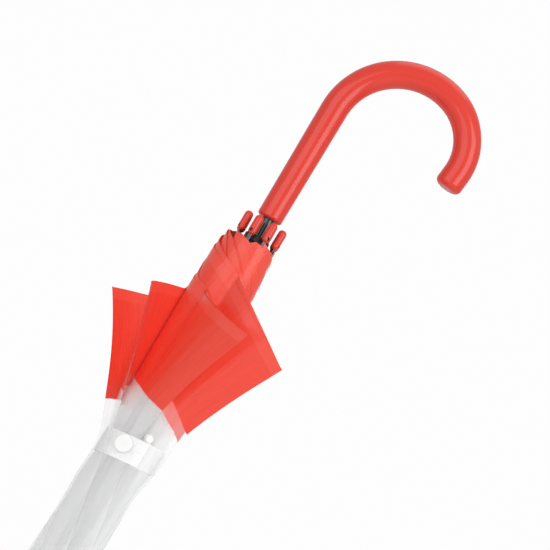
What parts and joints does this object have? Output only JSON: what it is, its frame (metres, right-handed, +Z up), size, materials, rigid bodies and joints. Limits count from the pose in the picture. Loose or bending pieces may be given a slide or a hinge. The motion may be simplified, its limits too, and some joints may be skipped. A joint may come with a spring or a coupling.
{
  "type": "clear bubble umbrella",
  "caption": "Closed clear dome umbrella with a red hem band, crook handle, red rib tips and a snap strap; the runner slides and opens the ribs.",
  "frame": {"origin": "end face of the ferrule, on the shaft's axis", "axes": "+Z up the shaft to the handle, +X the side the crook opens to"},
  "size_m": [0.1906, 0.1476, 0.8385],
  "materials": {
    "red_gloss_plastic": "gloss",
    "black_gloss_metal": "gloss",
    "black_plastic": "satin",
    "spring_steel": "satin",
    "white_plastic": "satin",
    "clear_film": "gloss",
    "red_film": "gloss"
  },
  "bodies": {
    "stick": {"handle": "red_gloss_plastic", "shaft": "black_gloss_metal", "ferrule": "red_gloss_plastic", "top_cap": "red_gloss_plastic", "notch": "black_plastic", "notch_wire": "spring_steel", "stop": "black_plastic", "gore_1": "clear_film", "gore_2": "clear_film", "gore_3": "clear_film", "gore_4": "clear_film", "gore_5": "clear_film", "gore_6": "clear_film", "gore_7": "clear_film", "gore_8": "clear_film"},
    "runner": {"runner": "black_plastic", "runner_wire": "spring_steel"},
    "bottom_catch": {"bottom_catch": "spring_steel"},
    "top_catch": {"top_catch": "spring_steel"},
    "rib_inner_1": {"rib_inner_1": "black_gloss_metal"},
    "rib_outer_1": {"rib_outer_1": "black_gloss_metal", "rib_tip_1": "red_gloss_plastic"},
    "stretcher_1": {"stretcher_1": "black_gloss_metal"},
    "rib_inner_2": {"rib_inner_2": "black_gloss_metal"},
    "rib_outer_2": {"rib_outer_2": "black_gloss_metal", "rib_tip_2": "red_gloss_plastic"},
    "stretcher_2": {"stretcher_2": "black_gloss_metal"},
    "rib_inner_3": {"rib_inner_3": "black_gloss_metal"},
    "rib_outer_3": {"rib_outer_3": "black_gloss_metal", "rib_tip_3": "red_gloss_plastic"},
    "stretcher_3": {"stretcher_3": "black_gloss_metal"},
    "rib_inner_4": {"rib_inner_4": "black_gloss_metal"},
    "rib_outer_4": {"rib_outer_4": "black_gloss_metal", "rib_tip_4": "red_gloss_plastic"},
    "stretcher_4": {"stretcher_4": "black_gloss_metal"},
    "rib_inner_5": {"rib_inner_5": "black_gloss_metal"},
    "rib_outer_5": {"rib_outer_5": "black_gloss_metal", "rib_tip_5": "red_gloss_plastic"},
    "stretcher_5": {"stretcher_5": "black_gloss_metal"},
    "rib_inner_6": {"rib_inner_6": "black_gloss_metal"},
    "rib_outer_6": {"rib_outer_6": "black_gloss_metal", "rib_tip_6": "red_gloss_plastic", "strap": "clear_film", "strap_rivet": "white_plastic", "snap_stud": "white_plastic"},
    "stretcher_6": {"stretcher_6": "black_gloss_metal"},
    "rib_inner_7": {"rib_inner_7": "black_gloss_metal"},
    "rib_outer_7": {"rib_outer_7": "black_gloss_metal", "rib_tip_7": "red_gloss_plastic"},
    "stretcher_7": {"stretcher_7": "black_gloss_metal"},
    "rib_inner_8": {"rib_inner_8": "black_gloss_metal"},
    "rib_outer_8": {"rib_outer_8": "black_gloss_metal", "rib_tip_8": "red_gloss_plastic"},
    "stretcher_8": {"stretcher_8": "black_gloss_metal"},
    "strap_tab": {"strap_tab": "clear_film", "snap_socket": "white_plastic"}
  },
  "joints": [
    {"name": "runner_slide", "type": "slide", "parent": "stick", "child": "runner", "axis": [0, 0, -1], "range_m": [0, 0.27609], "deforming": ["gore_1", "gore_2", "gore_3", "gore_4", "gore_5", "gore_6", "gore_7", "gore_8", "strap"]},
    {"name": "bottom_catch_press", "type": "slide", "parent": "stick", "child": "bottom_catch", "axis": [-0.7071, 0.7071, 0], "range_m": [0, 0.0023], "stiffness_N_per_m": 1500, "springref_m": -0.001},
    {"name": "top_catch_press", "type": "slide", "parent": "stick", "child": "top_catch", "axis": [-0.7071, 0.7071, 0], "range_m": [0, 0.0023], "stiffness_N_per_m": 1500, "springref_m": -0.001},
    {"name": "rib_swing_1", "type": "hinge", "parent": "stick", "child": "rib_inner_1", "pos_m": [0.00758, 0.00314, 0.073], "axis": [-0.3827, 0.9239, 0], "range_deg": [0, 65.3]},
    {"name": "rib_flex_1", "type": "hinge", "parent": "rib_inner_1", "child": "rib_outer_1", "pos_m": [0.0112, 0.00464, 0.37297], "axis": [0.3827, -0.9239, 0], "range_deg": [0, 44.05]},
    {"name": "stretcher_swing_1", "type": "hinge", "parent": "rib_inner_1", "child": "stretcher_1", "pos_m": [0.00742, 0.00307, 0.32802], "axis": [0.3827, -0.9239, 0], "range_deg": [0, 123.54]},
    {"name": "rib_swing_2", "type": "hinge", "parent": "stick", "child": "rib_inner_2", "pos_m": [0.00314, 0.00758, 0.073], "axis": [-0.9239, 0.3827, 0], "range_deg": [0, 65.3]},
    {"name": "rib_flex_2", "type": "hinge", "parent": "rib_inner_2", "child": "rib_outer_2", "pos_m": [0.00464, 0.0112, 0.37297], "axis": [0.9239, -0.3827, 0], "range_deg": [0, 44.05]},
    {"name": "stretcher_swing_2", "type": "hinge", "parent": "rib_inner_2", "child": "stretcher_2", "pos_m": [0.00307, 0.00742, 0.32802], "axis": [0.9239, -0.3827, 0], "range_deg": [0, 123.54]},
    {"name": "rib_swing_3", "type": "hinge", "parent": "stick", "child": "rib_inner_3", "pos_m": [-0.00314, 0.00758, 0.073], "axis": [-0.9239, -0.3827, 0], "range_deg": [0, 65.3]},
    {"name": "rib_flex_3", "type": "hinge", "parent": "rib_inner_3", "child": "rib_outer_3", "pos_m": [-0.00464, 0.0112, 0.37297], "axis": [0.9239, 0.3827, 0], "range_deg": [0, 44.05]},
    {"name": "stretcher_swing_3", "type": "hinge", "parent": "rib_inner_3", "child": "stretcher_3", "pos_m": [-0.00307, 0.00742, 0.32802], "axis": [0.9239, 0.3827, 0], "range_deg": [0, 123.54]},
    {"name": "rib_swing_4", "type": "hinge", "parent": "stick", "child": "rib_inner_4", "pos_m": [-0.00758, 0.00314, 0.073], "axis": [-0.3827, -0.9239, 0], "range_deg": [0, 65.3]},
    {"name": "rib_flex_4", "type": "hinge", "parent": "rib_inner_4", "child": "rib_outer_4", "pos_m": [-0.0112, 0.00464, 0.37297], "axis": [0.3827, 0.9239, 0], "range_deg": [0, 44.05]},
    {"name": "stretcher_swing_4", "type": "hinge", "parent": "rib_inner_4", "child": "stretcher_4", "pos_m": [-0.00742, 0.00307, 0.32802], "axis": [0.3827, 0.9239, 0], "range_deg": [0, 123.54]},
    {"name": "rib_swing_5", "type": "hinge", "parent": "stick", "child": "rib_inner_5", "pos_m": [-0.00758, -0.00314, 0.073], "axis": [0.3827, -0.9239, 0], "range_deg": [0, 65.3]},
    {"name": "rib_flex_5", "type": "hinge", "parent": "rib_inner_5", "child": "rib_outer_5", "pos_m": [-0.0112, -0.00464, 0.37297], "axis": [-0.3827, 0.9239, 0], "range_deg": [0, 44.05]},
    {"name": "stretcher_swing_5", "type": "hinge", "parent": "rib_inner_5", "child": "stretcher_5", "pos_m": [-0.00742, -0.00307, 0.32802], "axis": [-0.3827, 0.9239, 0], "range_deg": [0, 123.54]},
    {"name": "rib_swing_6", "type": "hinge", "parent": "stick", "child": "rib_inner_6", "pos_m": [-0.00314, -0.00758, 0.073], "axis": [0.9239, -0.3827, 0], "range_deg": [0, 65.3]},
    {"name": "rib_flex_6", "type": "hinge", "parent": "rib_inner_6", "child": "rib_outer_6", "pos_m": [-0.00464, -0.0112, 0.37297], "axis": [-0.9239, 0.3827, 0], "range_deg": [0, 44.05]},
    {"name": "stretcher_swing_6", "type": "hinge", "parent": "rib_inner_6", "child": "stretcher_6", "pos_m": [-0.00307, -0.00742, 0.32802], "axis": [-0.9239, 0.3827, 0], "range_deg": [0, 123.54]},
    {"name": "rib_swing_7", "type": "hinge", "parent": "stick", "child": "rib_inner_7", "pos_m": [0.00314, -0.00758, 0.073], "axis": [0.9239, 0.3827, 0], "range_deg": [0, 65.3]},
    {"name": "rib_flex_7", "type": "hinge", "parent": "rib_inner_7", "child": "rib_outer_7", "pos_m": [0.00464, -0.0112, 0.37297], "axis": [-0.9239, -0.3827, 0], "range_deg": [0, 44.05]},
    {"name": "stretcher_swing_7", "type": "hinge", "parent": "rib_inner_7", "child": "stretcher_7", "pos_m": [0.00307, -0.00742, 0.32802], "axis": [-0.9239, -0.3827, 0], "range_deg": [0, 123.54]},
    {"name": "rib_swing_8", "type": "hinge", "parent": "stick", "child": "rib_inner_8", "pos_m": [0.00758, -0.00314, 0.073], "axis": [0.3827, 0.9239, 0], "range_deg": [0, 65.3]},
    {"name": "rib_flex_8", "type": "hinge", "parent": "rib_inner_8", "child": "rib_outer_8", "pos_m": [0.0112, -0.00464, 0.37297], "axis": [-0.3827, -0.9239, 0], "range_deg": [0, 44.05]},
    {"name": "stretcher_swing_8", "type": "hinge", "parent": "rib_inner_8", "child": "stretcher_8", "pos_m": [0.00742, -0.00307, 0.32802], "axis": [-0.3827, -0.9239, 0], "range_deg": [0, 123.54]},
    {"name": "strap_tab_peel", "type": "hinge", "parent": "rib_outer_6", "child": "strap_tab", "pos_m": [0.01246, -0.02344, 0.467], "axis": [0, 0, 1], "range_deg": [0, 110]}
  ],
  "couplings": [
    {"joint": "rib_swing_1", "follows": "runner_slide", "rad_per_m": 4.125},
    {"joint": "rib_flex_1", "follows": "runner_slide", "rad_per_m": 2.7815},
    {"joint": "stretcher_swing_1", "follows": "runner_slide", "rad_per_m": 7.8064},
    {"joint": "rib_swing_2", "follows": "runner_slide", "rad_per_m": 4.125},
    {"joint": "rib_flex_2", "follows": "runner_slide", "rad_per_m": 2.7815},
    {"joint": "stretcher_swing_2", "follows": "runner_slide", "rad_per_m": 7.8064},
    {"joint": "rib_swing_3", "follows": "runner_slide", "rad_per_m": 4.125},
    {"joint": "rib_flex_3", "follows": "runner_slide", "rad_per_m": 2.7815},
    {"joint": "stretcher_swing_3", "follows": "runner_slide", "rad_per_m": 7.8064},
    {"joint": "rib_swing_4", "follows": "runner_slide", "rad_per_m": 4.125},
    {"joint": "rib_flex_4", "follows": "runner_slide", "rad_per_m": 2.7815},
    {"joint": "stretcher_swing_4", "follows": "runner_slide", "rad_per_m": 7.8064},
    {"joint": "rib_swing_5", "follows": "runner_slide", "rad_per_m": 4.125},
    {"joint": "rib_flex_5", "follows": "runner_slide", "rad_per_m": 2.7815},
    {"joint": "stretcher_swing_5", "follows": "runner_slide", "rad_per_m": 7.8064},
    {"joint": "rib_swing_6", "follows": "runner_slide", "rad_per_m": 4.125},
    {"joint": "rib_flex_6", "follows": "runner_slide", "rad_per_m": 2.7815},
    {"joint": "stretcher_swing_6", "follows": "runner_slide", "rad_per_m": 7.8064},
    {"joint": "rib_swing_7", "follows": "runner_slide", "rad_per_m": 4.125},
    {"joint": "rib_flex_7", "follows": "runner_slide", "rad_per_m": 2.7815},
    {"joint": "stretcher_swing_7", "follows": "runner_slide", "rad_per_m": 7.8064},
    {"joint": "rib_swing_8", "follows": "runner_slide", "rad_per_m": 4.125},
    {"joint": "rib_flex_8", "follows": "runner_slide", "rad_per_m": 2.7815},
    {"joint": "stretcher_swing_8", "follows": "runner_slide", "rad_per_m": 7.8064}
  ]
}
